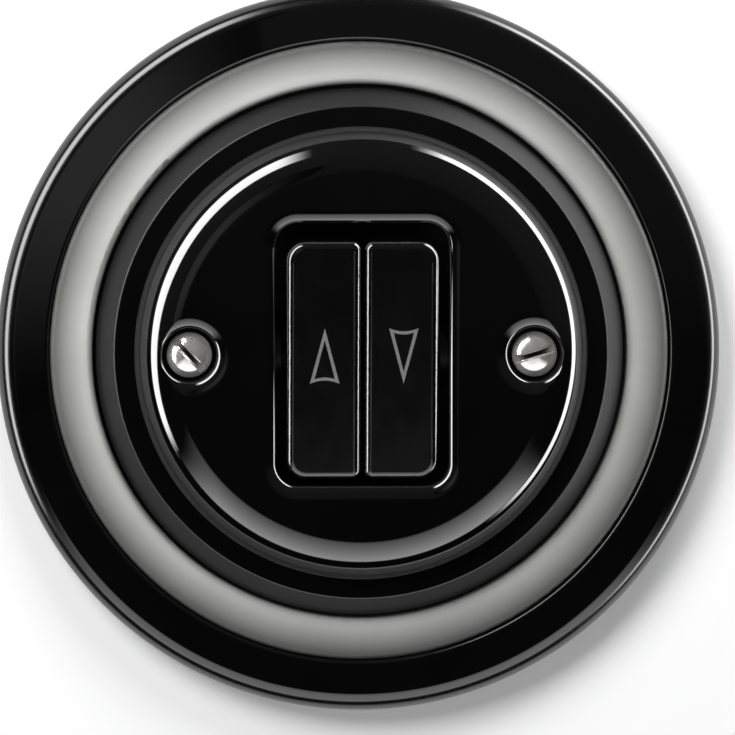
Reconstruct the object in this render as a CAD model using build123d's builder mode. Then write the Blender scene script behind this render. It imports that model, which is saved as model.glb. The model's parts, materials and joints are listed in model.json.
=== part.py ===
from build123d import *
from math import cos, radians, sin
import os

# Round flush-mounted double pushbutton for a blind motor. Lengths are millimetres, angles degrees.
# The wall is the XZ plane, +Z is up and the front faces -Y. Heights run from the wall to the front,
# depths run from the wall into the flush box.

# Clearances
thread_gap = 0.05
pin_gap = 0.01
hub_gap = 0.04
guide_gap = 0.06
touch_gap = 0.05
seat_gap = 0.2

quarter_turn = 90.0

# Porcelain frame
band_width = 7.1
band_outer_height = 6.0
band_inner_height = 6.3
band_inner_round = 0.5
frame_edge_round = 2.6
frame_foot_height = 1.4
frame_foot_inset = 1.0
frame_foot_round = 1.2
frame_rim_width = 3.5
frame_hollow = 2.2
seat_height = 5.0
lip_width = 3.8

# Metal trim ring
ring_width = 5.8
ring_sheet = 0.5
ring_shoulder_height = 5.8
ring_shoulder_round = 0.8
ring_shoulder_turn = 70.0
ring_crest_height = 7.8
ring_lip_inset = 0.8
ring_lip_drop = 0.7

# Porcelain cover
cover_radius = 30.4
groove_width = 0.6
flange_lean = 2.4
flange_foot_height = 7.2
flange_foot_round = 0.5
flange_top_height = 11.1
flange_edge_round = 0.35
flange_land = 3.5
cover_cove = 0.8
shoulder_width = 5.4
shoulder_drop = 3.7
face_height = 15.8
face_wall = 3.8
cover_wall = 4.0
cavity_round = 1.5
spigot_depth = 1.4
opening_corner = 3.2
mouth_width = 1.8
mouth_depth = 0.7
mouth_overrun = 0.5

# Cover screws
cover_screw_inset = 6.75
screw_radius = 1.5
screw_hole_radius = 1.95
screw_head_radius = 3.1
screw_head_wall = 1.0
screw_head_height = 2.2
screw_slot_width = 0.6
screw_slot_chamfer = 0.3
screw_slot_depth = 1.0
slot_overrun = 1.0
screw_tip_chamfer = 0.4
screw_reach = 3.0
left_slot_angle = -47.0
right_slot_angle = 16.5
counterbore_radius = 3.8
counterbore_depth = 2.9
boss_radius = 4.6
boss_height = 6.0

# Buttons
button_width = 10.5
button_gap = 0.3
button_length = 33.4
button_end_draft = 0.25
button_side_draft = 0.15
button_side_gap = 1.3
button_end_gap = 1.4
button_proud = 0.66
button_skirt = 7.0
button_wall = 1.4
button_outer_corner = 2.8
button_inner_corner = 1.3
button_edge_round = 1.1
rest_tilt = 5.0
press_angle = 8.0
pivot_height = 7.0
hub_radius = 3.0
cheek_half_length = 6.5
push_rib_offset = 9.0
push_rib_drop = 0.2
rest_foot_offset = 10.5
press_foot_offset = 13.0
foot_width = 4.0
rib_round = 0.8

# Pivot pin and carrier
pin_radius = 1.5
pin_chamfer = 0.3
carrier_thickness = 2.0
carrier_inset = 0.5
carrier_corner = 5.0
ear_gap = 0.3
ear_thickness = 2.5
ear_radius = 3.0
ear_foot_half = 5.0
guide_wall = 1.2
guide_depth = 3.5
carrier_boss_width = 23.6
carrier_boss_length = 31.6
carrier_boss_corner = 3.0

# Support plate
plate_thickness = 1.0
plate_radius = 36.0
box_screw_spacing = 60.0
box_slot_radius = 1.75
box_slot_length = 5.5
collar_radius = 2.6
collar_depth = 2.5

# Rivets
rivet_radius = 1.25
rivet_head_radius = 2.0
rivet_head_height = 1.0
rivet_head_round = 0.6
rivet_pitch = 24.0

# Base in the flush box
flange_ear = 5.2
relief_gap = 0.75
base_length = 42.0
base_flange_depth = 3.0
base_width = 31.0
base_depth = 21.0
base_corner = 3.0
base_rear_round = 1.0
base_side_wall = 1.5
base_end_wall = 2.5
chamber_depth = 10.0
barrier_thickness = 1.5
barrier_length = 11.0
barrier_inset = 1.5
spring_pocket_radius = 2.6
spring_pocket_depth = 17.0
wire_hole_width = 4.4

# Plungers, contact bridges and springs
plunger_radius = 2.5
plunger_head_round = 0.5
plunger_shoulder_depth = 5.2
plunger_tail_radius = 1.1
plunger_tail_depth = 12.0
bridge_thickness = 0.8
bridge_width = 4.0
bridge_length = 14.0
stud_pitch = 10.0
stud_radius = 1.5
stud_height = 0.8
stud_round = 0.3
spring_radius = 1.95
spring_wire_radius = 0.25
spring_turns = 6

# Fixed contacts and wire clamps
strip_thickness = 1.0
strip_pad = 3.6
common_stem_width = 4.0
tail_width = 3.2
terminal_side_gap = 0.5
terminal_inset = 7.0
tail_overhang = 0.5
clamp_width = 7.0
clamp_length = 6.0
clamp_wall = 1.2
clamp_window_depth = 4.6
clamp_thread_wall = 2.0
clamp_screw_radius = 1.5
clamp_screw_tip = 0.5
clamp_screw_neck = 1.6
clamp_head_radius = 2.8
clamp_head_height = 1.8
clamp_slot_width = 0.8
clamp_slot_depth = 0.9
clamp_slot_angle = 35.0
driver_hole_radius = 3.2

# Places that follow from the sizes above
flange_top_radius = cover_radius + flange_land
flange_radius = flange_top_radius + flange_lean
ring_inner_radius = flange_radius + groove_width
ring_outer_radius = ring_inner_radius + ring_width
rebate_radius = ring_outer_radius + seat_gap
frame_radius = rebate_radius + band_width
foot_radius = frame_radius - frame_foot_inset
lip_radius = flange_radius - lip_width
spigot_radius = lip_radius - seat_gap
cavity_radius = spigot_radius - cover_wall
cavity_height = face_height - face_wall
carrier_top = plate_thickness + carrier_thickness
cover_screw_spacing = 2 * (cover_radius - cover_screw_inset)
flange_width = base_width + 2 * flange_ear
rivet_spacing = base_width + flange_ear
relief_radius = collar_radius + relief_gap
carrier_length = base_length - 2 * carrier_inset
chamber_width = base_width - 2 * base_side_wall
chamber_length = base_length - 2 * base_end_wall
terminal_row = base_length / 2 - terminal_inset
terminal_pitch = (chamber_width - clamp_width) / 2 - terminal_side_gap
button_pitch = button_width + button_gap
button_face_length = button_length - 2 * button_end_draft
button_reach = (face_height + button_proud - pivot_height) / cos(radians(rest_tilt))
button_back = button_reach - button_skirt
button_face_inside = button_reach - button_wall / 2
opening_width = 2 * button_width + button_gap + 2 * button_side_gap
opening_length = button_length + 2 * button_end_gap
ear_inner = button_width + button_gap / 2 + ear_gap
pin_length = 2 * (ear_inner + ear_thickness)
screw_seat_height = face_height - counterbore_depth
screw_top_height = screw_seat_height + screw_head_height
pole_x = button_pitch / 2
pole_z = push_rib_offset
stud_low_z = pole_z - stud_pitch / 2
stud_high_z = pole_z + stud_pitch / 2
strip_front_depth = chamber_depth - strip_thickness
clamp_front_depth = strip_front_depth - clamp_wall
clamp_window_end = strip_front_depth + clamp_window_depth
clamp_back_depth = clamp_window_end + clamp_thread_wall
tail_end_z = -(terminal_row + clamp_length / 2 + tail_overhang)


def tip_height(offset, centre, tilt):
    """Height of a button rib's rounded tip, with the tip's centre at this offset and reach."""
    turn = radians(tilt)
    return pivot_height + centre * cos(turn) + offset * sin(turn) - rib_round


def foot_centre(offset, tilt):
    """Reach of the tip's centre of a stop foot that meets the carrier at this tilt of the button."""
    turn = radians(tilt)
    return (carrier_top + touch_gap + rib_round - pivot_height - offset * sin(turn)) / cos(turn)


rest_tip_height = tip_height(push_rib_offset, -push_rib_drop, rest_tilt)
pressed_tip_height = tip_height(push_rib_offset, -push_rib_drop, rest_tilt - press_angle)
plunger_travel = rest_tip_height - pressed_tip_height
plunger_head_height = rest_tip_height - touch_gap
bridge_back_depth = plunger_shoulder_depth + bridge_thickness
fixed_stud_depth = bridge_back_depth + stud_height + plunger_travel + touch_gap
fixed_stud_height = strip_front_depth - fixed_stud_depth

# Half section of the turned pieces: radius across, height up
section = Plane(origin=(0, 0, 0), x_dir=(1, 0, 0), z_dir=(0, 0, -1))

os.makedirs("parts", exist_ok=True)


def front(height):
    """Plane parallel to the wall at this height, facing the room."""
    return Plane.XZ.offset(height)


def finish(builder, name):
    """Names a finished piece and writes it."""
    builder.part.label = name
    export_step(builder.part, f"parts/{name}.step")


# Round porcelain frame, hollow behind, with a flat rebate for the trim ring
with BuildPart() as porcelain_frame:
    with BuildSketch(section):
        with BuildLine():
            corners = {
                (rebate_radius, band_inner_height): band_inner_round,
                (frame_radius, band_outer_height): frame_edge_round,
                (frame_radius, frame_foot_height): frame_foot_round,
                (foot_radius, 0): 0,
                (foot_radius - frame_rim_width, 0): 0,
                (foot_radius - frame_rim_width, frame_hollow): 0,
                (lip_radius, frame_hollow): 0,
            }
            outline = FilletPolyline(
                (rebate_radius, seat_height),
                *corners.keys(),
                (lip_radius, seat_height),
                radius=corners.values(),
            )
            Line(outline @ 1, outline @ 0)
        make_face()
    revolve(axis=Axis.Y)
finish(porcelain_frame, "porcelain_frame")

# Pressed metal ring, open underneath, standing on its two edges in the rebate
with BuildPart() as trim_ring:
    with BuildSketch(section):
        with BuildLine():
            outer_wall = Line(
                (ring_outer_radius, seat_height),
                (ring_outer_radius, ring_shoulder_height),
            )
            shoulder = JernArc(outer_wall @ 1, (0, 1), ring_shoulder_round, ring_shoulder_turn)
            crown = TangentArc(
                shoulder @ 1,
                (ring_inner_radius + ring_lip_inset, ring_crest_height),
                tangent=shoulder % 1,
            )
            lip = TangentArc(
                crown @ 1,
                (ring_inner_radius, ring_crest_height - ring_lip_drop),
                tangent=crown % 1,
            )
            Line(lip @ 1, (ring_inner_radius, seat_height))
            offset(amount=ring_sheet, side=Side.LEFT)
        make_face()
    revolve(axis=Axis.Y)
finish(trim_ring, "trim_ring")

# Round porcelain cover: flange over the frame's lip, coved riser, rounded shoulder and flat face
with BuildPart() as cover_plate:
    with BuildSketch(section):
        with BuildLine():
            corners = {
                (cover_radius, flange_top_height): cover_cove,
                (flange_top_radius, flange_top_height): flange_edge_round,
                (flange_radius, flange_foot_height): flange_foot_round,
                (flange_radius, seat_height): 0,
                (spigot_radius, seat_height): 0,
                (spigot_radius, seat_height - spigot_depth): 0,
                (cavity_radius, seat_height - spigot_depth): 0,
                (cavity_radius, flange_foot_height): 0,
                (cover_radius - cover_wall, cavity_height): cavity_round,
                (0, cavity_height): 0,
                (0, face_height): 0,
            }
            shoulder = EllipticalCenterArc(
                (cover_radius - shoulder_width, face_height - shoulder_drop),
                shoulder_width,
                shoulder_drop,
                arc_size=quarter_turn,
            )
            FilletPolyline(shoulder @ 0, *corners.keys(), shoulder @ 1, radius=corners.values())
        make_face()
    revolve(axis=Axis.Y)
    with BuildSketch(front(boss_height)):
        with GridLocations(cover_screw_spacing, 0, 2, 1):
            Circle(boss_radius)
    extrude(amount=cavity_height - boss_height)
    with Locations(front(face_height)):
        with GridLocations(cover_screw_spacing, 0, 2, 1):
            CounterBoreHole(screw_hole_radius, counterbore_radius, counterbore_depth)
    with BuildSketch(front(face_height)):
        RectangleRounded(opening_width, opening_length, opening_corner)
    extrude(amount=-face_wall, mode=Mode.SUBTRACT)
    with BuildSketch(front(face_height)) as mouths:
        RectangleRounded(opening_width, opening_length, opening_corner)
        with GridLocations(cover_screw_spacing, 0, 2, 1):
            Circle(counterbore_radius)
    for mouth in mouths.sketch.faces():
        path = mouth.outer_wire()
        along = path % 0
        with BuildSketch(Plane(path @ 0, x_dir=along.cross(Vector(0, -1, 0)), z_dir=-along)) as cutter:
            with BuildLine():
                roll = EllipticalCenterArc(
                    (mouth_width, -mouth_depth),
                    mouth_width,
                    mouth_depth,
                    start_angle=quarter_turn,
                    arc_size=quarter_turn,
                )
                Polyline(
                    roll @ 1,
                    (-mouth_overrun, -mouth_depth),
                    (-mouth_overrun, mouth_overrun),
                    (mouth_width, mouth_overrun),
                    roll @ 0,
                )
            make_face()
        sweep(cutter.sketch, path=path, mode=Mode.SUBTRACT)
finish(cover_plate, "cover_plate")

# Two slotted round-head screws that clamp cover and frame to the support plate
with BuildPart() as cover_screws:
    for screw_x, slot_angle in (
        (-cover_screw_spacing / 2, left_slot_angle),
        (cover_screw_spacing / 2, right_slot_angle),
    ):
        with BuildSketch(section.shift_origin((screw_x, 0, 0))):
            with BuildLine():
                dome = TangentArc(
                    (0, screw_top_height),
                    (screw_head_radius, screw_seat_height + screw_head_wall),
                    tangent=(1, 0),
                )
                Polyline(
                    dome @ 1,
                    (screw_head_radius, screw_seat_height),
                    (screw_radius, screw_seat_height),
                    (screw_radius, screw_tip_chamfer - screw_reach),
                    (screw_radius - screw_tip_chamfer, -screw_reach),
                    (0, -screw_reach),
                    dome @ 0,
                )
            make_face()
        revolve(axis=Axis((screw_x, 0, 0), (0, 1, 0)))
        with BuildSketch(front(screw_top_height)):
            with Locations((screw_x, 0)):
                Rectangle(2 * (screw_head_radius + slot_overrun), screw_slot_width, rotation=slot_angle)
        extrude(amount=-screw_slot_depth, mode=Mode.SUBTRACT)
    upright = cover_screws.faces().filter_by(GeomType.PLANE).filter_by(Axis.Y, reverse=True)
    chamfer(upright.edges().filter_by(GeomType.CIRCLE), screw_slot_chamfer)
finish(cover_screws, "cover_screws")

# Tapered hollow buttons that rock on the pin, with a hub, a push rib and two stop feet behind
for name, hand in (("up_button", -1), ("down_button", 1)):
    tilt = radians(rest_tilt)
    pivot = Plane(
        origin=(hand * pole_x, -pivot_height, 0),
        x_dir=(1, 0, 0),
        z_dir=(0, -cos(tilt), -sin(tilt)),
    )
    profile = Plane(origin=pivot.origin, x_dir=pivot.y_dir, z_dir=(1, 0, 0))
    outer, inner = (0, -1) if hand < 0 else (-1, 0)
    with BuildPart() as button:
        for reach, width, length in (
            (button_back, button_width, button_length),
            (button_reach, button_width - button_side_draft, button_face_length),
        ):
            with BuildSketch(pivot.offset(reach)) as outline:
                with Locations((hand * (width - button_width) / 2, 0)):
                    Rectangle(width, length)
                fillet(outline.vertices().group_by(Axis.X)[outer], button_outer_corner)
                fillet(outline.vertices().group_by(Axis.X)[inner], button_inner_corner)
        loft()
        fillet(button.faces().sort_by(Axis.Y)[0].edges(), button_edge_round)
        with BuildSketch(pivot.offset(button_back)):
            RectangleRounded(
                button_width - 2 * button_wall,
                button_face_length - 2 * button_wall,
                button_outer_corner - button_wall,
            )
        extrude(amount=button_skirt - button_wall, mode=Mode.SUBTRACT)
        for cheek in (-button_width / 2 + button_wall, button_width / 2 - 2 * button_wall):
            with BuildSketch(profile.offset(cheek)):
                Polygon(
                    (-cheek_half_length, button_face_inside),
                    (-hub_radius, 0),
                    (hub_radius, 0),
                    (cheek_half_length, button_face_inside),
                    align=None,
                )
            extrude(amount=button_wall)
        for offset_along, centre, width in (
            (push_rib_offset, -push_rib_drop, button_width - 2 * button_wall),
            (-rest_foot_offset, foot_centre(-rest_foot_offset, rest_tilt), foot_width),
            (press_foot_offset, foot_centre(press_foot_offset, rest_tilt - press_angle), foot_width),
        ):
            with BuildSketch(profile.offset(-width / 2)):
                with Locations((offset_along, centre)):
                    Circle(rib_round)
                with Locations((offset_along, (centre + button_face_inside) / 2)):
                    Rectangle(2 * rib_round, button_face_inside - centre)
            extrude(amount=width)
        with BuildSketch(profile.offset(-button_width / 2)):
            Circle(hub_radius)
        extrude(amount=button_width)
        with BuildSketch(profile.offset(-button_width / 2)):
            Circle(pin_radius + hub_gap)
        extrude(amount=button_width, mode=Mode.SUBTRACT)
    finish(button, name)

# Steel pin that both buttons rock on
with BuildPart() as pivot_pin:
    with BuildSketch(Plane.YZ.offset(-pin_length / 2)):
        with Locations((-pivot_height, 0)):
            Circle(pin_radius)
    extrude(amount=pin_length)
    chamfer(pivot_pin.edges().filter_by(GeomType.CIRCLE), pin_chamfer)
finish(pivot_pin, "pivot_pin")

# Moulded carrier in front of the plate: ears for the pin, guides for the plungers
with BuildPart() as pivot_frame:
    with BuildSketch(front(plate_thickness)):
        RectangleRounded(flange_width, carrier_length, carrier_corner)
        with GridLocations(cover_screw_spacing, 0, 2, 1):
            Circle(relief_radius, mode=Mode.SUBTRACT)
    extrude(amount=carrier_thickness)
    with BuildSketch(front(0)):
        RectangleRounded(carrier_boss_width, carrier_boss_length, carrier_boss_corner)
    extrude(amount=plate_thickness)
    with BuildSketch(front(-guide_depth)):
        with Locations((-pole_x, pole_z), (pole_x, pole_z)):
            Circle(plunger_radius + guide_gap + guide_wall)
    extrude(amount=guide_depth)
    for ear in (-ear_inner - ear_thickness, ear_inner):
        with BuildSketch(Plane((ear, -pivot_height, 0), x_dir=(0, 0, 1), z_dir=(1, 0, 0))):
            Polygon(
                (-ear_foot_half, carrier_top - pivot_height),
                (-ear_radius, 0),
                (ear_radius, 0),
                (ear_foot_half, carrier_top - pivot_height),
                align=None,
            )
            Circle(ear_radius)
            Circle(pin_radius + pin_gap, mode=Mode.SUBTRACT)
        extrude(amount=ear_thickness)
    with BuildSketch(front(carrier_top)):
        with Locations((-pole_x, pole_z), (pole_x, pole_z)):
            Circle(plunger_radius + guide_gap)
        with GridLocations(rivet_spacing, rivet_pitch, 2, 2):
            Circle(rivet_radius + thread_gap)
    extrude(amount=-carrier_top - guide_depth, mode=Mode.SUBTRACT)
finish(pivot_frame, "pivot_frame")

# Plated steel plate on the wall, with the fixing slots and two tapped collars
with BuildPart() as support_plate:
    with BuildSketch(front(0)):
        Circle(plate_radius)
    extrude(amount=plate_thickness)
    with BuildSketch(front(-collar_depth)):
        with GridLocations(cover_screw_spacing, 0, 2, 1):
            Circle(collar_radius)
    extrude(amount=collar_depth)
    with BuildSketch(front(plate_thickness)):
        RectangleRounded(
            carrier_boss_width + 2 * seat_gap,
            carrier_boss_length + 2 * seat_gap,
            carrier_boss_corner + seat_gap,
        )
        with GridLocations(rivet_spacing, rivet_pitch, 2, 2):
            Circle(rivet_radius + thread_gap)
        with GridLocations(cover_screw_spacing, 0, 2, 1):
            Circle(screw_radius + thread_gap)
        with PolarLocations(box_screw_spacing / 2, 4):
            SlotOverall(box_slot_length, 2 * box_slot_radius)
    extrude(amount=-plate_thickness - collar_depth, mode=Mode.SUBTRACT)
finish(support_plate, "support_plate")

# Four rivets through carrier, plate and base
with BuildPart() as frame_rivets:
    with BuildSketch(front(carrier_top)):
        with GridLocations(rivet_spacing, rivet_pitch, 2, 2):
            Circle(rivet_radius)
    extrude(amount=-carrier_top - base_flange_depth)
    for height, direction in ((carrier_top, 1), (-base_flange_depth, -1)):
        with BuildSketch(front(height)):
            with GridLocations(rivet_spacing, rivet_pitch, 2, 2):
                Circle(rivet_head_radius)
        extrude(amount=direction * rivet_head_height)
    head_edges = frame_rivets.edges().filter_by(GeomType.CIRCLE).group_by(Axis.Y)
    fillet(head_edges[0] + head_edges[-1], rivet_head_round)
finish(frame_rivets, "frame_rivets")

# Moulded base in the flush box: contact chamber, spring pockets and three terminal pockets
terminal_places = [(x, -terminal_row) for x in (-terminal_pitch, 0, terminal_pitch)]
with BuildPart() as switch_base:
    with BuildSketch(front(0)):
        RectangleRounded(base_width, base_length, base_corner)
    extrude(amount=-base_depth)
    fillet(switch_base.faces().sort_by(Axis.Y)[-1].edges(), base_rear_round)
    with BuildSketch(front(0)):
        RectangleRounded(flange_width, base_length, carrier_corner)
        with GridLocations(cover_screw_spacing, 0, 2, 1):
            Circle(relief_radius, mode=Mode.SUBTRACT)
    extrude(amount=-base_flange_depth)
    with BuildSketch(front(0)):
        Rectangle(chamber_width, chamber_length)
    extrude(amount=-chamber_depth, mode=Mode.SUBTRACT)
    with BuildSketch(front(-barrier_inset)):
        with Locations((0, (chamber_length - barrier_length) / 2)):
            Rectangle(barrier_thickness, barrier_length)
    extrude(amount=barrier_inset - chamber_depth)
    with BuildSketch(front(-chamber_depth)):
        with Locations((-pole_x, pole_z), (pole_x, pole_z)):
            Circle(spring_pocket_radius)
    extrude(amount=chamber_depth - spring_pocket_depth, mode=Mode.SUBTRACT)
    with BuildSketch(front(-chamber_depth)):
        with Locations(*terminal_places):
            Rectangle(clamp_width + 2 * seat_gap, clamp_length + 2 * seat_gap)
    extrude(amount=chamber_depth - clamp_back_depth, mode=Mode.SUBTRACT)
    with BuildSketch(front(-clamp_back_depth)):
        with Locations(*terminal_places):
            Circle(driver_hole_radius)
    extrude(amount=clamp_back_depth - base_depth, mode=Mode.SUBTRACT)
    with BuildSketch(Plane.XY.offset(-base_length / 2)):
        with Locations(*[(x, (chamber_depth + clamp_window_end) / 2) for x, z in terminal_places]):
            Rectangle(wire_hole_width, clamp_window_end - chamber_depth)
    extrude(amount=base_length / 2 - terminal_row, mode=Mode.SUBTRACT)
    with BuildSketch(front(0)):
        with GridLocations(rivet_spacing, rivet_pitch, 2, 2):
            Circle(rivet_radius + thread_gap)
    extrude(amount=-base_flange_depth, mode=Mode.SUBTRACT)
finish(switch_base, "switch_base")

# One plunger, contact bridge, return spring and fixed contact for each button
for name, hand in (("up", -1), ("down", 1)):
    with BuildPart() as plunger:
        with BuildSketch(front(plunger_head_height)):
            with Locations((hand * pole_x, pole_z)):
                Circle(plunger_radius)
        extrude(amount=-plunger_head_height - plunger_shoulder_depth)
        fillet(plunger.faces().sort_by(Axis.Y)[0].edges(), plunger_head_round)
        with BuildSketch(front(-plunger_shoulder_depth)):
            with Locations((hand * pole_x, pole_z)):
                Circle(plunger_tail_radius)
        extrude(amount=plunger_shoulder_depth - plunger_tail_depth)
    finish(plunger, f"{name}_plunger")

    with BuildPart() as bridge:
        with BuildSketch(front(-plunger_shoulder_depth)):
            with Locations((hand * pole_x, pole_z)):
                SlotOverall(bridge_length, bridge_width, rotation=90)
                Circle(plunger_tail_radius + thread_gap, mode=Mode.SUBTRACT)
        extrude(amount=-bridge_thickness)
        with BuildSketch(front(-bridge_back_depth)):
            with Locations((hand * pole_x, stud_low_z), (hand * pole_x, stud_high_z)):
                Circle(stud_radius)
        extrude(amount=-stud_height)
        fillet(bridge.edges().group_by(Axis.Y)[-1], stud_round)
    finish(bridge, f"{name}_bridge")

    with BuildPart() as return_spring:
        spring_length = spring_pocket_depth - bridge_back_depth - 2 * (spring_wire_radius + touch_gap)
        with BuildLine() as coil:
            Helix(
                pitch=spring_length / spring_turns,
                height=spring_length,
                radius=spring_radius,
                center=(hand * pole_x, bridge_back_depth + spring_wire_radius + touch_gap, pole_z),
                direction=(0, 1, 0),
            )
        with BuildSketch(Plane(coil.line @ 0, z_dir=coil.line % 0)):
            Circle(spring_wire_radius)
        sweep(is_frenet=True)
    finish(return_spring, f"{name}_return_spring")

    with BuildPart() as fixed_contact:
        with BuildSketch(front(-strip_front_depth)):
            pad_reach = terminal_pitch + tail_width / 2 - pole_x + strip_pad / 2
            with Locations((hand * (pole_x - strip_pad / 2 + pad_reach / 2), stud_high_z)):
                Rectangle(pad_reach, strip_pad)
            tail_length = stud_high_z + strip_pad / 2 - tail_end_z
            with Locations((hand * terminal_pitch, tail_end_z + tail_length / 2)):
                Rectangle(tail_width, tail_length)
        extrude(amount=-strip_thickness)
        with BuildSketch(front(-strip_front_depth)):
            with Locations((hand * pole_x, stud_high_z)):
                Circle(stud_radius)
        extrude(amount=fixed_stud_height)
        fillet(fixed_contact.faces().sort_by(Axis.Y)[0].edges(), stud_round)
    finish(fixed_contact, f"{name}_contact")

# Fixed contact shared by both sides, a T-shaped stamping
with BuildPart() as common_contact:
    with BuildSketch(front(-strip_front_depth)):
        with Locations((0, stud_low_z)):
            Rectangle(2 * pole_x + strip_pad, strip_pad)
        with Locations((0, (stud_low_z + tail_end_z) / 2)):
            Rectangle(common_stem_width, stud_low_z - tail_end_z)
    extrude(amount=-strip_thickness)
    with BuildSketch(front(-strip_front_depth)):
        with Locations((-pole_x, stud_low_z), (pole_x, stud_low_z)):
            Circle(stud_radius)
    extrude(amount=fixed_stud_height)
    fillet(common_contact.edges().group_by(Axis.Y)[0], stud_round)
finish(common_contact, "common_contact")

# Box clamps that the contact tails pass through, each with a tapped back wall
for name, clamp_x in (("up", -terminal_pitch), ("common", 0), ("down", terminal_pitch)):
    with BuildPart() as clamp:
        with BuildSketch(Plane.XY.offset(-terminal_row - clamp_length / 2)):
            with Locations((clamp_x, (clamp_front_depth + clamp_back_depth) / 2)):
                Rectangle(clamp_width, clamp_back_depth - clamp_front_depth)
            with Locations((clamp_x, (strip_front_depth + clamp_window_end) / 2)):
                Rectangle(clamp_width - 2 * clamp_wall, clamp_window_depth, mode=Mode.SUBTRACT)
        extrude(amount=clamp_length)
        with BuildSketch(front(-clamp_back_depth)):
            with Locations((clamp_x, -terminal_row)):
                Circle(clamp_screw_radius + thread_gap)
        extrude(amount=clamp_thread_wall, mode=Mode.SUBTRACT)
    finish(clamp, f"{name}_clamp")

# Three slotted terminal screws
with BuildPart() as clamp_screws:
    head_depth = clamp_back_depth + clamp_screw_neck
    with BuildSketch(front(-chamber_depth - clamp_screw_tip)):
        with Locations(*terminal_places):
            Circle(clamp_screw_radius)
    extrude(amount=chamber_depth + clamp_screw_tip - head_depth)
    with BuildSketch(front(-head_depth)):
        with Locations(*terminal_places):
            Circle(clamp_head_radius)
    extrude(amount=-clamp_head_height)
    fillet(clamp_screws.edges().group_by(Axis.Y)[-1], stud_round)
    with BuildSketch(front(-head_depth - clamp_head_height)):
        with Locations(*terminal_places):
            Rectangle(2 * (clamp_head_radius + slot_overrun), clamp_slot_width, rotation=clamp_slot_angle)
    extrude(amount=clamp_slot_depth, mode=Mode.SUBTRACT)
finish(clamp_screws, "clamp_screws")
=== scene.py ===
import json
from math import atan2, copysign, cos, degrees, radians, sin, tan

import bmesh
import bpy
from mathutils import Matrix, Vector
from mathutils.geometry import delaunay_2d_cdt


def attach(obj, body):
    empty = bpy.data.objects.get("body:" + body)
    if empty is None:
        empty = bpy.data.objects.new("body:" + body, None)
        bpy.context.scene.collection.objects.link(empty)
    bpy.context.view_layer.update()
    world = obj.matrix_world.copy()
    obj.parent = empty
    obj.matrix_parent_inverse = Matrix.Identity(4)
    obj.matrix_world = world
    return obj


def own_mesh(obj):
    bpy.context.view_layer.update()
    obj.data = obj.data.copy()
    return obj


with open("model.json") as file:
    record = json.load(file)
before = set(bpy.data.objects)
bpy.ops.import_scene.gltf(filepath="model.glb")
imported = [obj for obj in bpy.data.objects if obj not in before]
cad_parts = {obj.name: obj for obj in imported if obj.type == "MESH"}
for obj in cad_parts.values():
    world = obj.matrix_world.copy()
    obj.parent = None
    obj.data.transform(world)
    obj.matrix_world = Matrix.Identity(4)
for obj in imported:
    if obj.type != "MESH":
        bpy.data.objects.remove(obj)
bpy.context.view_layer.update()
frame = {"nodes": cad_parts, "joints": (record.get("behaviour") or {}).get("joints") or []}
scene = bpy.context.scene
cadNodes = frame["nodes"]
mm = 0.001
print("frame loaded:", len(cadNodes), "pieces")


# sRGB hex to the linear values that shaders take
def linear(hexColour):
    channels = [int(hexColour[i:i + 2], 16) / 255 for i in (1, 3, 5)]
    return [c / 12.92 if c <= 0.04045 else ((c + 0.055) / 1.055) ** 2.4 for c in channels] + [1.0]


# one node with its settings and its incoming links; sockets go by name, or by number where names repeat
def addNode(tree, kind, settings=None, links=None):
    node = tree.nodes.new(kind)
    for key, value in (settings or {}).items():
        if isinstance(key, int) or key in node.inputs:
            node.inputs[key].default_value = value
        else:
            setattr(node, key, value)
    for key, source in (links or {}).items():
        tree.links.new(source, node.inputs[key])
    return node


# a new object in the scene
def addObject(name, data):
    thing = bpy.data.objects.new(name, data)
    scene.collection.objects.link(thing)
    return thing


# a mesh from a finished bmesh, which is freed
def keepMesh(name, shape):
    data = bpy.data.meshes.new(name)
    shape.to_mesh(data)
    shape.free()
    return data


# how the noise under every finish is read: most of its values lie between low and high
pattern = {"low": 0.3, "high": 0.7, "patchDetail": 4.0, "grainDetail": 3.0}


# a material from its look: constant sockets, two tones over cloudy patches, and a finer grain that moves
# the roughness and gives a bump of a real depth, all in the piece's own metres
def dressMaterial(name, look):
    material = bpy.data.materials.new(name)
    material.use_nodes = True
    tree = material.node_tree
    shader = tree.nodes["Principled BSDF"]
    for key, value in look["sockets"].items():
        shader.inputs[key].default_value = value
    place = addNode(tree, "ShaderNodeTexCoord", {"name": "place"}).outputs["Object"]
    cloud = addNode(tree, "ShaderNodeTexNoise",
                    {"Scale": 1 / (look["patchMm"] * mm), "Detail": pattern["patchDetail"]},
                    {"Vector": place})
    spread = addNode(tree, "ShaderNodeMapRange",
                     {"From Min": pattern["low"], "From Max": pattern["high"]},
                     {"Value": cloud.outputs["Fac"]})
    tone = addNode(tree, "ShaderNodeMix",
                   {"name": "tone", "data_type": "RGBA", 6: linear(look["deep"]), 7: linear(look["light"])},
                   {0: spread.outputs["Result"]})
    grain = addNode(tree, "ShaderNodeTexNoise",
                    {"Scale": 1 / (look["grainMm"] * mm), "Detail": pattern["grainDetail"]},
                    {"Vector": place})
    rough = addNode(tree, "ShaderNodeMapRange",
                    {"name": "rough", "From Min": pattern["low"], "From Max": pattern["high"],
                     "To Min": look["roughness"][0], "To Max": look["roughness"][1]},
                    {"Value": grain.outputs["Fac"]})
    bump = addNode(tree, "ShaderNodeBump",
                   {"Strength": 1.0, "Distance": look["depthMm"] * mm}, {"Height": grain.outputs["Fac"]})
    tree.links.new(tone.outputs[2], shader.inputs["Base Color"])
    tree.links.new(rough.outputs["Result"], shader.inputs["Roughness"])
    tree.links.new(bump.outputs["Normal"], shader.inputs["Normal"])
    return material


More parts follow.
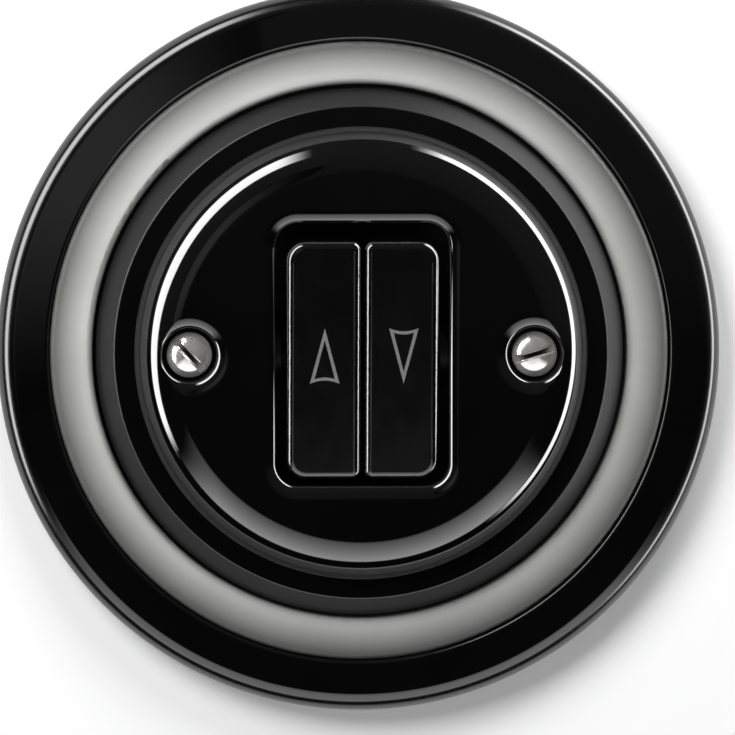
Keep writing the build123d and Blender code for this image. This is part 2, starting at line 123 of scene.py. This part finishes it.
# black glaze fired on porcelain: deep black and mirror-like where it lies level, with a faint ripple;
# it runs thin on the steep sides, which are duller
glazeLook = {"deep": "#040405", "light": "#070708", "patchMm": 22.0, "grainMm": 5.0,
             "roughness": (0.05, 0.09), "depthMm": 0.006,
             "sockets": {"IOR": 1.52, "Coat Roughness": 0.03, "Coat IOR": 1.7}}
# the clear layer goes between the slopes level and steep, in degrees; left is what stays of it
glazeEdges = {
    "blackGlazedFace": {"level": 42.0, "steep": 48.0, "roughness": 0.5, "left": 0.0},
    "blackGlazedRim": {"level": 4.0, "steep": 20.0, "roughness": 0.28, "left": 0.35},
    "blackGlazedFlange": {"level": 4.0, "steep": 20.0, "roughness": 0.42, "left": 0.0},
    "blackGlazedCove": {"level": 2.0, "steep": 10.0, "roughness": 0.85, "left": 0.0},
}
glazes = {}
for name, edge in glazeEdges.items():
    glazes[name] = dressMaterial(name, glazeLook)
    tree = glazes[name].node_tree
    shader = tree.nodes["Principled BSDF"]
    facing = addNode(tree, "ShaderNodeSeparateXYZ", None,
                     {"Vector": addNode(tree, "ShaderNodeNewGeometry").outputs["Normal"]})
    thick = addNode(tree, "ShaderNodeMapRange",
                    {"interpolation_type": "SMOOTHSTEP", "From Min": -cos(radians(edge["steep"])),
                     "From Max": -cos(radians(edge["level"])), "To Min": edge["left"]},
                    {"Value": facing.outputs["Y"]})
    dull = addNode(tree, "ShaderNodeMix", {2: edge["roughness"]},
                   {0: thick.outputs["Result"], 3: tree.nodes["rough"].outputs["Result"]})
    tree.links.new(thick.outputs["Result"], shader.inputs["Coat Weight"])
    tree.links.new(dull.outputs[0], shader.inputs["Roughness"])
glazedFace, glazedRim, glazedFlange, glazedCove = glazes.values()

# pressed aluminium, bead-blasted: an even satin grey, with painted shade that makes it brighter on the crest
# and darker down the outer slope; the blasted skin scatters light, so it is only part metallic; its grain is
# drawn coarser so that it shows
satinLook = {"deep": "#a8a8a6", "light": "#b0b0ae", "patchMm": 9.0, "grainMm": 0.25,
             "roughness": (0.52, 0.58), "depthMm": 0.004, "sockets": {"Metallic": 0.4},
             "slopeMm": 41.9, "slopeShadeTone": "#828282", "crestMm": 38.4, "crestTone": "#ffffff"}
satinAluminium = dressMaterial("beadBlastedAluminium", satinLook)
tree = satinAluminium.node_tree
axes = addNode(tree, "ShaderNodeSeparateXYZ", None, {"Vector": tree.nodes["place"].outputs["Object"]})
level = addNode(tree, "ShaderNodeCombineXYZ", None, {"X": axes.outputs["X"], "Y": axes.outputs["Z"]})
radius = addNode(tree, "ShaderNodeVectorMath", {"operation": "LENGTH"}, {0: level.outputs["Vector"]})
# painted shade: the base colour darkens with the radius from the crest down the outer slope, standing in for
# how light falls on the ring
crest = addNode(tree, "ShaderNodeMapRange",
                {"From Min": satinLook["slopeMm"] * mm, "From Max": satinLook["crestMm"] * mm},
                {"Value": radius.outputs["Value"]})
paintedSlopeShade = addNode(tree, "ShaderNodeMix",
               {"data_type": "RGBA", 6: linear(satinLook["slopeShadeTone"]), 7: linear(satinLook["crestTone"])},
               {0: crest.outputs["Result"]})
shaded = addNode(tree, "ShaderNodeMix", {"data_type": "RGBA", "blend_type": "MULTIPLY", 0: 1.0},
                 {6: tree.nodes["tone"].outputs[2], 7: paintedSlopeShade.outputs[2]})
tree.links.new(shaded.outputs[2], tree.nodes["Principled BSDF"].inputs["Base Color"])

# nickel-plated steel, barrel-polished: bright, with painted shade in the slots, which is dark where they are
# shut in and gone where they are open
nickelLook = {"deep": "#d9d7d2", "light": "#ebe9e5", "patchMm": 1.2, "grainMm": 0.3,
              "roughness": (0.13, 0.19), "depthMm": 0.0005, "sockets": {"Metallic": 0.75},
              "slotMm": 0.8, "slotShade": "#2a2927", "shut": 0.5, "open": 0.78}
nickelPlatedSteel = dressMaterial("polishedNickelPlate", nickelLook)
tree = nickelPlatedSteel.node_tree
# painted shade: the base colour darkens to grey-brown where ambient occlusion finds the slots shut in
unshut = addNode(tree, "ShaderNodeAmbientOcclusion", {"Distance": nickelLook["slotMm"] * mm})
slotLit = addNode(tree, "ShaderNodeMapRange", {"From Min": nickelLook["shut"], "From Max": nickelLook["open"]},
                {"Value": unshut.outputs["AO"]})
slotShaded = addNode(tree, "ShaderNodeMix", {"data_type": "RGBA", 6: linear(nickelLook["slotShade"])},
                 {0: slotLit.outputs["Result"], 7: tree.nodes["tone"].outputs[2]})
tree.links.new(slotShaded.outputs[2], tree.nodes["Principled BSDF"].inputs["Base Color"])

# black urea resin, moulded in a polished tool: glossy, with a slight flow ripple
mouldedResin = dressMaterial("blackMouldedResin", {
    "deep": "#060607", "light": "#09090a", "patchMm": 12.0, "grainMm": 3.0, "roughness": (0.1, 0.14),
    "depthMm": 0.002,
    "sockets": {"IOR": 1.5, "Coat Weight": 1.0, "Coat Roughness": 0.08, "Coat IOR": 1.6}})

# grey pad-printed ink: matte, a touch uneven in density
printedInk = dressMaterial("greyPadPrint", {
    "deep": "#6c6c6c", "light": "#7c7c7c", "patchMm": 0.6, "grainMm": 0.12, "roughness": (0.45, 0.6),
    "depthMm": 0.002, "sockets": {"IOR": 1.45}})

# zinc-plated sheet steel, blue passivated: cool grey with cloudy patches
zincPlatedSteel = dressMaterial("zincPlatedSteel", {
    "deep": "#9aa0a8", "light": "#c3c8cc", "patchMm": 3.0, "grainMm": 0.5, "roughness": (0.28, 0.42),
    "depthMm": 0.004, "sockets": {"Metallic": 1.0}})

# hardened steel, black oxide: nearly black, with a dull oily sheen
blackenedSteel = dressMaterial("blackOxideSteel", {
    "deep": "#121214", "light": "#1c1c1f", "patchMm": 1.5, "grainMm": 0.2, "roughness": (0.4, 0.55),
    "depthMm": 0.002, "sockets": {"Metallic": 1.0}})

# glass-filled polyamide, moulded in an eroded tool: dull black with a fine tooth
mouldedPolyamide = dressMaterial("blackMouldedPolyamide", {
    "deep": "#17171a", "light": "#222226", "patchMm": 6.0, "grainMm": 0.35, "roughness": (0.5, 0.66),
    "depthMm": 0.012, "sockets": {"IOR": 1.53}})

# phenolic resin, compression moulded: dark grey-brown with pale filler clouds
mouldedPhenolic = dressMaterial("darkMouldedPhenolic", {
    "deep": "#1d1b1a", "light": "#2c2927", "patchMm": 2.5, "grainMm": 0.4, "roughness": (0.35, 0.5),
    "depthMm": 0.008, "sockets": {"IOR": 1.6}})

# natural acetal, turned and tumbled: milky white and waxy
turnedAcetal = dressMaterial("naturalTurnedAcetal", {
    "deep": "#d9d3c4", "light": "#e6e1d4", "patchMm": 3.0, "grainMm": 0.3, "roughness": (0.35, 0.45),
    "depthMm": 0.003, "sockets": {"IOR": 1.48}})

# brass strip, stamped: warm yellow with a faint tarnish
stampedBrass = dressMaterial("stampedBrass", {
    "deep": "#b08d4f", "light": "#d8bb7a", "patchMm": 2.5, "grainMm": 0.2, "roughness": (0.22, 0.36),
    "depthMm": 0.003, "sockets": {"Metallic": 1.0}})

# spring wire, drawn and oiled: grey steel with a low shine
drawnWire = dressMaterial("drawnSpringWire", {
    "deep": "#85868a", "light": "#a2a3a6", "patchMm": 1.5, "grainMm": 0.15, "roughness": (0.25, 0.35),
    "depthMm": 0.002, "sockets": {"Metallic": 1.0}})

finishes = {
    "porcelain_frame": glazedRim,
    "cover_plate": glazedFace,
    "trim_ring": satinAluminium,
    "cover_screws": nickelPlatedSteel,
    "up_button": mouldedResin,
    "down_button": mouldedResin,
    "pivot_pin": blackenedSteel,
    "pivot_frame": mouldedPolyamide,
    "support_plate": zincPlatedSteel,
    "frame_rivets": zincPlatedSteel,
    "switch_base": mouldedPhenolic,
    "up_plunger": turnedAcetal,
    "down_plunger": turnedAcetal,
    "up_bridge": stampedBrass,
    "down_bridge": stampedBrass,
    "up_return_spring": drawnWire,
    "down_return_spring": drawnWire,
    "common_contact": stampedBrass,
    "up_contact": stampedBrass,
    "down_contact": stampedBrass,
    "common_clamp": stampedBrass,
    "up_clamp": stampedBrass,
    "down_clamp": stampedBrass,
    "clamp_screws": zincPlatedSteel,
}
for name, finish in finishes.items():
    cadNodes[name].data.materials.clear()
    cadNodes[name].data.materials.append(finish)
print("finishes given to", len(finishes), "pieces")

# each return spring shortens towards its seat in the base as its slide goes in; here it only gets a mesh of
# its own
for joint in frame["joints"]:
    for pushed in joint.get("deforming_nodes", []):
        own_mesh(cadNodes[pushed["node"]])

# fired glaze: a smooth coat over the porcelain's front, meshed finely so that reflections run clean;
# the turned coats have corners of radius, height off the wall and rounding, and stop short of the rim
coatGrid = {"around": 360, "stepDeg": 5.0, "rimMm": 49.95}
turnedGlazes = {
    "frame_glaze": {"glaze": glazedRim, "thickMm": 0.05, "cornersMm": (
        (42.9, 5.5, 0), (42.9, 6.3, 0.5), (50.0, 6.0, 2.6), (50.0, 3.0, 0))},
    "cove_glaze": {"glaze": glazedCove, "thickMm": 0.09, "cornersMm": (
        (30.4, 12.1, 0), (30.4, 11.1, 0.8), (32.0, 11.1, 0))},
    "flange_glaze": {"glaze": glazedFlange, "thickMm": 0.09, "cornersMm": (
        (32.0, 11.1, 0), (33.9, 11.1, 0.35), (36.3, 7.2, 0.5), (36.3, 5.6, 0))},
}
# rolls are given as width and depth; gaps keep the rings of points apart where rolls meet
faceGlaze = {"glaze": glazedFace, "thickMm": 0.05, "heightMm": 15.8, "flatMm": 25.0, "shoulderMm": (5.4, 3.7),
             "mouthMm": (1.8, 0.7), "openingMm": (11.95, 18.1), "cornerMm": 3.2, "cornerPoints": 24,
             "boreAtMm": 23.65, "boreMm": 3.8, "borePoints": 160, "closeMm": 0.0005,
             "boreGapMm": 0.03, "shoulderGapMm": 0.12, "mergeMm": 1e-7}


# samples along a turned outline: radius, height and the outward direction, corners rounded
def turnedSamples(corners):
    samples = []
    for i in range(len(corners)):
        r, h, rounding = corners[i]
        into = Vector((r - corners[i - 1][0], h - corners[i - 1][1])).normalized() if i else None
        out = None
        if i + 1 < len(corners):
            out = Vector((corners[i + 1][0] - r, corners[i + 1][1] - h)).normalized()
        if into is None or out is None:
            run = out or into
            samples.append((r, h, -run.y, run.x))
            continue
        bend = atan2(into.x * out.y - into.y * out.x, into.dot(out))
        start = Vector((r, h)) - into * rounding * tan(abs(bend) / 2)
        side = 1 if bend < 0 else -1
        centre = start - side * rounding * Vector((-into.y, into.x))
        steps = max(2, round(abs(degrees(bend)) / coatGrid["stepDeg"]))
        for k in range(steps + 1):
            a = atan2(into.x, -into.y) + bend * k / steps
            away = Vector((cos(a), sin(a)))
            spot = centre + side * rounding * away
            samples.append((spot.x, spot.y, away.x, away.y))
    return samples


# points, directions and faces of a coat turned about the switch's axis, and each face corner's direction
def turnedCoat(corners):
    samples = [sample for sample in turnedSamples(corners) if sample[0] < coatGrid["rimMm"]]
    points, ways, faces = [], [], []
    for i in range(coatGrid["around"]):
        a = radians(360 * i / coatGrid["around"])
        for r, h, outR, outH in samples:
            points.append((r * cos(a), -h, r * sin(a)))
            ways.append((outR * cos(a), -outH, outR * sin(a)))
    count = len(samples)
    for i in range(coatGrid["around"]):
        k = (i + 1) % coatGrid["around"]
        for j in range(count - 1):
            faces.append((i * count + j, k * count + j, k * count + j + 1, i * count + j + 1))
    return points, ways, faces, [[ways[i] for i in face] for face in faces]


# distance outside the rounded opening, and the way that leads off it
def pastOpening(x, z):
    corner = faceGlaze["cornerMm"]
    halfWide, halfTall = faceGlaze["openingMm"]
    off = Vector((copysign(max(abs(x) - halfWide + corner, 0), x),
                  copysign(max(abs(z) - halfTall + corner, 0), z)))
    return off.length - corner, off.normalized()


# the same for the nearer counterbore
def pastBore(x, z):
    off = Vector((x - copysign(faceGlaze["boreAtMm"], x), z))
    return off.length - faceGlaze["boreMm"], off.normalized()


# how far an elliptic roll has dropped, and the direction that its surface faces
def rollAt(lean, size, way):
    lean = min(1.0, max(0.0, lean))
    level = (1 - lean * lean) ** 0.5
    aside = way * lean * size[1] / size[0]
    return size[1] * (1 - level), Vector((aside.x, -level, aside.y)).normalized()


# the rolls that shape the cover at a spot
def rollsAt(x, z):
    off = Vector((x, z))
    shoulder, mouth = faceGlaze["shoulderMm"], faceGlaze["mouthMm"]
    rolls = {"shoulder": rollAt((off.length - faceGlaze["flatMm"]) / shoulder[0], shoulder, off.normalized())}
    for part, (past, way) in (("opening", pastOpening(x, z)), ("bore", pastBore(x, z))):
        rolls[part] = rollAt(1 - past / mouth[0], mouth, -way)
    return rolls


# the roll that has dropped most, which is the one that counts
def deepest(rolls):
    return max(rolls, key=lambda part: rolls[part][0])


# width of the counterbore's roll in one direction, up to where the shoulder is lower
def boreRoll(at, a):
    near, far = 0.0, faceGlaze["mouthMm"][0]
    while far - near > faceGlaze["closeMm"]:
        middle = (near + far) / 2
        reach = faceGlaze["boreMm"] + middle
        if deepest(rollsAt(at + reach * cos(a), reach * sin(a))) == "bore":
            near = middle
        else:
            far = middle
    return far


# points, directions and faces of the coat on the cover's face, shoulder and rolled mouths
def faceCoat():
    spots, edges = [], []

    # closed where no spot is left out, else in runs
    def addRing(ring):
        if None not in ring:
            runs = [ring + ring[:1]]
        else:
            gap = ring.index(None)
            runs = [[]]
            for spot in ring[gap:] + ring[:gap]:
                if spot:
                    runs[-1].append(spot)
                elif runs[-1]:
                    runs.append([])
        for run in runs:
            first = len(spots)
            closed = len(run) > 1 and run[0] == run[-1]
            spots.extend(run[:-1] if closed else run)
            count = len(spots) - first
            edges.extend((first + i, first + (i + 1) % count) for i in range(count - (not closed)))

    width = faceGlaze["mouthMm"][0]
    inset = faceGlaze["cornerMm"]
    bore = faceGlaze["boreMm"]
    turns = [radians(360 * i / faceGlaze["borePoints"]) for i in range(faceGlaze["borePoints"])]
    bores = {}
    for at in (-faceGlaze["boreAtMm"], faceGlaze["boreAtMm"]):
        bores[at] = [boreRoll(at, a) for a in turns]
        addRing([(at + (bore + end) * cos(a), (bore + end) * sin(a)) for a, end in zip(turns, bores[at])])
    steps = round(90 / coatGrid["stepDeg"])
    for k in range(steps + 1):
        dip = radians(90 * k / steps)
        past = width * (1 - sin(dip))
        ring = []
        for quarter, (sx, sz) in enumerate(((1, 1), (-1, 1), (-1, -1), (1, -1))):
            for i in range(faceGlaze["cornerPoints"] + 1):
                a = radians(90 * (quarter + i / faceGlaze["cornerPoints"]))
                ring.append((sx * (faceGlaze["openingMm"][0] - inset) + (inset + past) * cos(a),
                             sz * (faceGlaze["openingMm"][1] - inset) + (inset + past) * sin(a)))
        addRing(ring)
        for at, ends in bores.items():
            ring = []
            for a, end in zip(turns, ends):
                spot = (at + (bore + past) * cos(a), (bore + past) * sin(a))
                ring.append(spot if past < end - faceGlaze["boreGapMm"] else None)
            addRing(ring)
        radius = faceGlaze["flatMm"] + faceGlaze["shoulderMm"][0] * sin(dip)
        ring = []
        for i in range(coatGrid["around"]):
            a = radians(360 * i / coatGrid["around"])
            x, z = radius * cos(a), radius * sin(a)
            at = copysign(faceGlaze["boreAtMm"], x)
            past = pastBore(x, z)[0]
            clear = past > width or past > boreRoll(at, atan2(z, x - at)) + faceGlaze["shoulderGapMm"]
            ring.append((x, z) if clear else None)
        addRing(ring)
    flat, _, triangles = delaunay_2d_cdt([Vector(spot) for spot in spots], edges, [], 0,
                                         faceGlaze["mergeMm"])[:3]
    points, ways = [], []
    for x, z in flat:
        rolls = rollsAt(x, z)
        drop, way = rolls[deepest(rolls)]
        points.append((x, drop - faceGlaze["heightMm"], z))
        ways.append(way)
    faces, corners = [], []
    for face in triangles:
        x = sum(flat[i][0] for i in face) / 3
        z = sum(flat[i][1] for i in face) / 3
        if pastOpening(x, z)[0] > 0 and pastBore(x, z)[0] > 0:
            part = deepest(rollsAt(x, z))
            faces.append(tuple(face))
            corners.append([rollsAt(*flat[i])[part][1] for i in face])
    return points, ways, faces, corners


# a coat as a piece of its own, lifted off the porcelain by its thickness and shaded by the true directions
def layCoat(name, look, shape):
    spots, ways, faces, corners = shape
    first = [Vector(spots[i]) for i in faces[0][:3]]
    facing = (first[1] - first[0]).cross(first[2] - first[0]).dot(Vector(corners[0][0]))
    turn = 1 if facing > 0 else -1
    points = [(Vector(spot) + look["thickMm"] * Vector(way)) * mm for spot, way in zip(spots, ways)]
    data = bpy.data.meshes.new(name)
    data.from_pydata(points, [], [face[::turn] for face in faces])
    data.shade_smooth()
    data.normals_split_custom_set([way for corner in corners for way in corner[::turn]])
    data.materials.append(look["glaze"])
    piece = addObject(name, data)
    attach(piece, "fixed")
    print(name, "laid with", len(faces), "faces")


for name, look in turnedGlazes.items():
    layCoat(name, look, turnedCoat(look["cornersMm"]))
layCoat("cover_glaze", faceGlaze, faceCoat())

# outlined arrows printed on the button faces, which lean with the buttons at rest
arrows = {"pivotHeightMm": 7.0, "reachMm": 9.496, "tiltDeg": 5.0, "acrossMm": 5.4, "shiftMm": 0.2,
          "proudMm": 0.012, "sunkMm": 0.03, "steps": 12,
          "tipMm": 4.6, "cornerMm": (2.03, -3.08), "hollowMm": -2.62,
          "innerTipMm": 2.95, "innerCornerMm": (1.4, -2.46), "innerHollowMm": -2.2}


# closed outline of a tall triangle with a hollow foot: tip, right corner, foot, left corner
def arrowOutline(tip, corner, hollow, steps):
    side, foot = corner
    points = []
    for i in range(steps):
        points.append((side * i / steps, tip + (foot - tip) * i / steps))
    for i in range(2 * steps):
        x = side * (1 - i / steps)
        points.append((x, hollow + (foot - hollow) * (x / side) ** 2))
    for i in range(steps):
        points.append((-side * (1 - i / steps), foot + (tip - foot) * i / steps))
    return points


# a thin band of ink between two outlines, let into the button's face; turned stands it on its tip
def printArrow(name, body, across, turned):
    lean = radians(arrows["tiltDeg"])
    outward = Vector((0, -cos(lean), -sin(lean)))
    upward = Vector((0, -sin(lean), cos(lean)))
    centre = Vector((across + arrows["shiftMm"], -arrows["pivotHeightMm"], 0)) + outward * arrows["reachMm"]
    outer = arrowOutline(arrows["tipMm"], arrows["cornerMm"], arrows["hollowMm"], arrows["steps"])
    inner = arrowOutline(arrows["innerTipMm"], arrows["innerCornerMm"], arrows["innerHollowMm"],
                         arrows["steps"])
    middle = arrows["tipMm"] + arrows["cornerMm"][1]
    mesh = bmesh.new()
    rings = []
    for outline in (outer, inner):
        for lift in (arrows["proudMm"], -arrows["sunkMm"]):
            ring = []
            for x, z in outline:
                if turned:
                    x, z = -x, middle - z
                ring.append(mesh.verts.new((centre + Vector((x, 0, 0)) + upward * z + outward * lift) * mm))
            rings.append(ring)
    outerTop, outerLow, innerTop, innerLow = rings
    count = len(outer)
    for i in range(count):
        k = (i + 1) % count
        mesh.faces.new((outerTop[i], outerTop[k], innerTop[k], innerTop[i]))
        mesh.faces.new((outerTop[k], outerTop[i], outerLow[i], outerLow[k]))
        mesh.faces.new((innerTop[i], innerTop[k], innerLow[k], innerLow[i]))
        mesh.faces.new((outerLow[k], outerLow[i], innerLow[i], innerLow[k]))
    bmesh.ops.recalc_face_normals(mesh, faces=mesh.faces)
    piece = addObject(name, keepMesh(name, mesh))
    piece.data.materials.append(printedInk)
    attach(piece, body)


printArrow("up_arrow", "up_key", -arrows["acrossMm"], False)
printArrow("down_arrow", "down_key", arrows["acrossMm"], True)
print("arrows printed on both buttons")

# camera close to square on, a little above and to the left; angles in degrees, distance in metres
cameraView = {"azimuth": -2.5, "elevation": 3.5, "distance": 1.0, "aimMm": (1.36, 0.0, -2.66),
              "pixelsPerMm": 7.2, "framePixels": 735}
camera = addObject("camera", bpy.data.cameras.new("camera"))
turn, rise = radians(cameraView["azimuth"]), radians(cameraView["elevation"])
back = Vector((sin(turn) * cos(rise), -cos(turn) * cos(rise), sin(rise)))
camera.location = Vector(cameraView["aimMm"]) * mm + back * cameraView["distance"]
camera.rotation_mode = "QUATERNION"
camera.rotation_quaternion = (-back).to_track_quat("-Z", "Y")
frameWidth = cameraView["framePixels"] / cameraView["pixelsPerMm"] * mm
camera.data.lens = camera.data.sensor_width * cameraView["distance"] / frameWidth
scene.camera = camera
print("camera set, lens", round(camera.data.lens), "mm")

# white plastered wall, seen only from the room side so that the back can be looked at
wallLook = {"halfWidth": 0.9, "behindMm": 0.3, "colour": "#f2f2f2", "glow": 0.22}
mesh = bmesh.new()
half = wallLook["halfWidth"]
mesh.faces.new([mesh.verts.new((x, wallLook["behindMm"] * mm, z))
                for x, z in ((-half, -half), (half, -half), (half, half), (-half, half))])
wall = addObject("wall", keepMesh("wall", mesh))
plaster = bpy.data.materials.new("whitePlaster")
plaster.use_nodes = True
tree = plaster.node_tree
tree.nodes.clear()
rays = addNode(tree, "ShaderNodeLightPath")
seen = addNode(tree, "ShaderNodeMath", {"operation": "MAXIMUM"},
               {0: rays.outputs["Is Camera Ray"], 1: rays.outputs["Is Glossy Ray"]})
seenToo = addNode(tree, "ShaderNodeMath", {"operation": "MAXIMUM"},
                  {0: seen.outputs["Value"], 1: rays.outputs["Is Transmission Ray"]})
strength = addNode(tree, "ShaderNodeMath", {"operation": "MULTIPLY", 1: wallLook["glow"]},
                   {0: seenToo.outputs["Value"]})
glow = addNode(tree, "ShaderNodeEmission", None, {"Strength": strength.outputs["Value"]})
paint = addNode(tree, "ShaderNodeBsdfDiffuse", {"Color": linear(wallLook["colour"])})
lit = addNode(tree, "ShaderNodeAddShader", None, {0: paint.outputs["BSDF"], 1: glow.outputs["Emission"]})
side = addNode(tree, "ShaderNodeNewGeometry")
clear = addNode(tree, "ShaderNodeBsdfTransparent")
oneSided = addNode(tree, "ShaderNodeMixShader", None,
                   {0: side.outputs["Backfacing"], 1: lit.outputs["Shader"], 2: clear.outputs["BSDF"]})
addNode(tree, "ShaderNodeOutputMaterial", None, {"Surface": oneSided.outputs["Shader"]})
wall.data.materials.append(plaster)
print("wall set")


# direction from the switch: around counts from +X towards +Z, off counts from straight ahead
def toward(around, off):
    a, t = radians(around), radians(off)
    return Vector((sin(t) * cos(a), -cos(t), sin(t) * sin(a)))


# value between the start, middle and end ones
def along(values, u):
    part = min(1, int(2 * u))
    return values[part] + (values[part + 1] - values[part]) * (2 * u - part)


# curved softboxes that only glossy surfaces see, in degrees: inner and outer edge and glow are given at
# start, middle and end, fade is the soft margin at the ends and at the edges, rise brightens the outer edge
softboxes = {
    "leftSoftbox": {"around": (102, 214), "inner": (45, 45, 55), "outer": (70, 70, 69),
                    "fade": (12.0, 1.5), "glow": (8.5, 8.5, 8.5), "rise": 1.1},
    "rightSoftbox": {"around": (-54, 74), "inner": (62, 72, 68), "outer": (73, 89, 89),
                     "fade": (18.0, 1.5), "glow": (7.0, 10.0, 14.0), "rise": 1.0},
    "lowSoftbox": {"around": (212, 330), "inner": (16, 16, 16), "outer": (64, 64, 64),
                   "fade": (20.0, 2.5), "glow": (0.5, 0.5, 0.5), "rise": 4.7},
    "frontSoftbox": {"around": (96, 214), "inner": (3.2, 3.2, 3.2), "outer": (20, 20, 20),
                     "fade": (52.0, 3.0), "glow": (0.175, 0.175, 0.175), "rise": 1.0},
}
boxGrid = {"distance": 0.9, "ends": 60, "edges": 24}
for name, box in softboxes.items():
    mesh = bmesh.new()
    grid = []
    glows = []
    for i in range(boxGrid["ends"] + 1):
        row = []
        for j in range(boxGrid["edges"] + 1):
            u, v = i / boxGrid["ends"], j / boxGrid["edges"]
            around = box["around"][0] + (box["around"][1] - box["around"][0]) * u
            inner, outer, bright = (along(box[key], u) for key in ("inner", "outer", "glow"))
            off = inner + (outer - inner) * v
            row.append(mesh.verts.new(toward(around, off) * boxGrid["distance"]))
            endRoom = min(around - box["around"][0], box["around"][1] - around) / box["fade"][0]
            edgeRoom = min(off - inner, outer - off) / box["fade"][1]
            soft = 1.0
            for room in (endRoom, edgeRoom):
                step = min(1.0, max(0.0, room))
                soft *= step * step * (3 - 2 * step)  # eases in and out
            glows.append(soft * bright * (1 + (box["rise"] - 1) * v))
        grid.append(row)
    for i in range(boxGrid["ends"]):
        for j in range(boxGrid["edges"]):
            mesh.faces.new((grid[i][j], grid[i + 1][j], grid[i + 1][j + 1], grid[i][j + 1]))
    panel = addObject(name, keepMesh(name, mesh))
    panel.data.attributes.new("glow", "FLOAT", "POINT").data.foreach_set("value", glows)
    cloth = bpy.data.materials.new(name)
    cloth.use_nodes = True
    tree = cloth.node_tree
    tree.nodes.clear()
    glow = addNode(tree, "ShaderNodeAttribute", {"attribute_name": "glow"})
    emit = addNode(tree, "ShaderNodeEmission", None, {"Strength": glow.outputs["Fac"]})
    addNode(tree, "ShaderNodeOutputMaterial", None, {"Surface": emit.outputs["Emission"]})
    panel.data.materials.append(cloth)
    panel.visible_camera = False
    panel.visible_diffuse = False
    panel.visible_transmission = False
    panel.visible_shadow = False
print("softboxes set:", len(softboxes))

# lamps for everything that scatters light: a key from the upper left, a low one from the top,
# and a fill behind the wall
lamps = {
    "keyLamp": {"around": 134, "off": 44, "distance": 0.9, "size": 0.5, "power": 6.6},
    "topLamp": {"around": 80, "off": 62, "distance": 0.9, "size": 0.5, "power": 4.7},
    "rearLamp": {"around": 60, "off": 140, "distance": 0.9, "size": 0.6, "power": 9.0},
}
for name, lamp in lamps.items():
    light = bpy.data.lights.new(name, "AREA")
    light.shape = "DISK"
    light.size = lamp["size"]
    light.energy = lamp["power"]
    holder = addObject(name, light)
    direction = toward(lamp["around"], lamp["off"])
    holder.location = direction * lamp["distance"]
    holder.rotation_mode = "QUATERNION"
    holder.rotation_quaternion = direction.to_track_quat("Z", "Y")
    holder.visible_camera = False
    holder.visible_glossy = False

# studio: pale to the camera, white behind the wall, and dim in front for reflections, where dim gives
# heights from straight down at 0 to straight up at 1 and the light there
studio = {"ambient": 0.14, "pale": "#f4f4f4", "blend": 0.02,
          "dim": ((0.0, 0.008), (0.42, 0.006), (0.472, 0.007), (0.497, 0.03), (0.54, 0.038), (0.85, 0.06),
                  (1.0, 0.06))}
world = bpy.data.worlds.new("studio")
world.use_nodes = True
scene.world = world
tree = world.node_tree
tree.nodes.clear()
direction = addNode(tree, "ShaderNodeTexCoord").outputs["Generated"]
axes = addNode(tree, "ShaderNodeSeparateXYZ", None, {"Vector": direction})
height = addNode(tree, "ShaderNodeMapRange", {"From Min": -1.0, "From Max": 1.0},
                 {"Value": axes.outputs["Z"]})
front = addNode(tree, "ShaderNodeValToRGB", None, {"Fac": height.outputs["Result"]})
ramp = front.color_ramp
while len(ramp.elements) < len(studio["dim"]):
    ramp.elements.new(0.5)  # put in its place below
for element, (position, level) in zip(ramp.elements, studio["dim"]):
    element.position = position
    element.color = (level, level, level, 1.0)
behind = addNode(tree, "ShaderNodeMapRange", {"From Min": -studio["blend"], "From Max": studio["blend"]},
                 {"Value": axes.outputs["Y"]})
mirrored = addNode(tree, "ShaderNodeMix", {"data_type": "RGBA", 7: linear(studio["pale"])},
                   {0: behind.outputs["Result"], 6: front.outputs["Color"]})
rays = addNode(tree, "ShaderNodeLightPath")
ambient = [studio["ambient"]] * 3 + [1.0]
glossy = addNode(tree, "ShaderNodeMix", {"data_type": "RGBA", 6: ambient},
                 {0: rays.outputs["Is Glossy Ray"], 7: mirrored.outputs[2]})
shown = addNode(tree, "ShaderNodeMix", {"data_type": "RGBA", 7: linear(studio["pale"])},
                {0: rays.outputs["Is Camera Ray"], 6: glossy.outputs[2]})
sky = addNode(tree, "ShaderNodeBackground", None, {"Color": shown.outputs[2]})
addNode(tree, "ShaderNodeOutputWorld", None, {"Surface": sky.outputs["Background"]})
scene.view_settings.view_transform = "Standard"
print("lamps and studio set")
